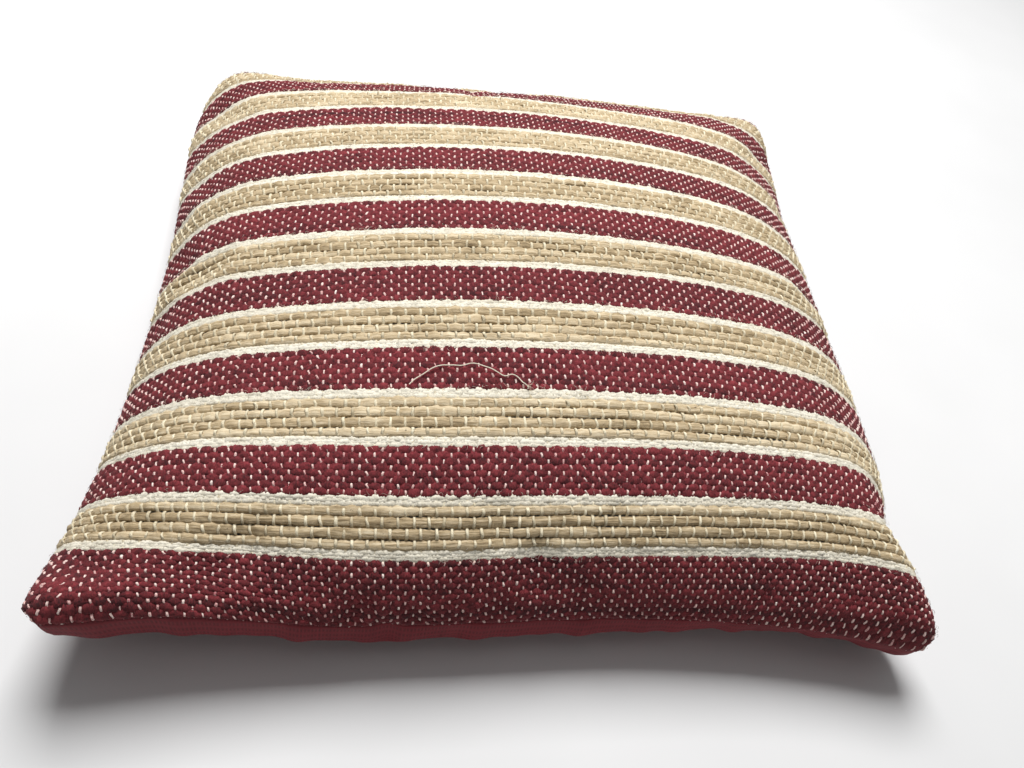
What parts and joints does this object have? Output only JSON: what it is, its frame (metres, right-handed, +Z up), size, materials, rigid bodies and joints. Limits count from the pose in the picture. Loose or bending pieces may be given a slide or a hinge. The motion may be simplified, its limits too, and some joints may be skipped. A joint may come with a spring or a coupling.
{
  "type": "floor cushion",
  "caption": "Square floor cushion with a hand-woven striped front in maroon yarn, jute and white cotton, a plain dark red back, a fibre-filled insert and a zip in the rear seam.",
  "frame": {"origin": "centre of the footprint, on the floor", "axes": "+Z up out of the woven face; +X to the right; -Y towards the front edge, +Y towards the rear edge that holds the zip"},
  "size_m": [0.5692, 0.546, 0.137],
  "materials": {
    "maroon_yarn": "thick soft cotton yarn, matt",
    "jute": "unbleached jute bundles, fibrous, slight lustre",
    "white_cotton": "undyed cotton yarn, matt",
    "back_cloth": "plain-woven dark red cotton, matt",
    "case_cloth": "white non-woven insert case",
    "fibre": "loose white polyester fibre",
    "zip_tape": "dark red woven tape",
    "coil_nylon": "dark red nylon coil",
    "zip_metal": "nickel-plated"
  },
  "bodies": {
    "root": {"maroon_band_1": "maroon_yarn", "cotton_band_1": "white_cotton", "jute_band_1": "jute", "cotton_band_2": "white_cotton", "maroon_band_2": "maroon_yarn", "cotton_band_3": "white_cotton", "jute_band_2": "jute", "cotton_band_4": "white_cotton", "maroon_band_3": "maroon_yarn", "cotton_band_5": "white_cotton", "jute_band_3": "jute", "cotton_band_6": "white_cotton", "maroon_band_4": "maroon_yarn", "cotton_band_7": "white_cotton", "jute_band_4": "jute", "cotton_band_8": "white_cotton", "maroon_band_5": "maroon_yarn", "cotton_band_9": "white_cotton", "jute_band_5": "jute", "cotton_band_10": "white_cotton", "maroon_band_6": "maroon_yarn", "cotton_band_11": "white_cotton", "jute_band_6": "jute", "cotton_band_12": "white_cotton", "maroon_band_7": "maroon_yarn", "cotton_band_13": "white_cotton", "jute_band_7": "jute", "cotton_band_14": "white_cotton", "maroon_band_8": "maroon_yarn", "cotton_band_15": "white_cotton", "jute_band_8": "jute", "cotton_band_16": "white_cotton", "maroon_band_9": "maroon_yarn", "back_panel": "back_cloth", "insert_case_top": "case_cloth", "insert_case_bottom": "case_cloth", "fibre_filling": "fibre", "zip_tape_upper": "zip_tape", "zip_coil_upper": "coil_nylon", "zip_top_stop_upper": "zip_metal", "zip_tape_lower": "zip_tape", "zip_coil_lower": "coil_nylon", "zip_top_stop_lower": "zip_metal", "zip_bottom_stop": "zip_metal", "loose_thread": "white_cotton"},
    "zip_slider": {"zip_slider": "zip_metal"},
    "zip_pull": {"zip_pull": "zip_metal"}
  },
  "joints": [
    {"name": "zip_slide", "type": "slide", "parent": "root", "child": "zip_slider", "axis": [1, 0, 0], "range_m": [-0.378, 0]},
    {"name": "pull_swing", "type": "hinge", "parent": "zip_slider", "child": "zip_pull", "pos_m": [0.189, 0.26215, 0.046], "axis": [0, 0, -1], "range_deg": [0, 170]}
  ]
}
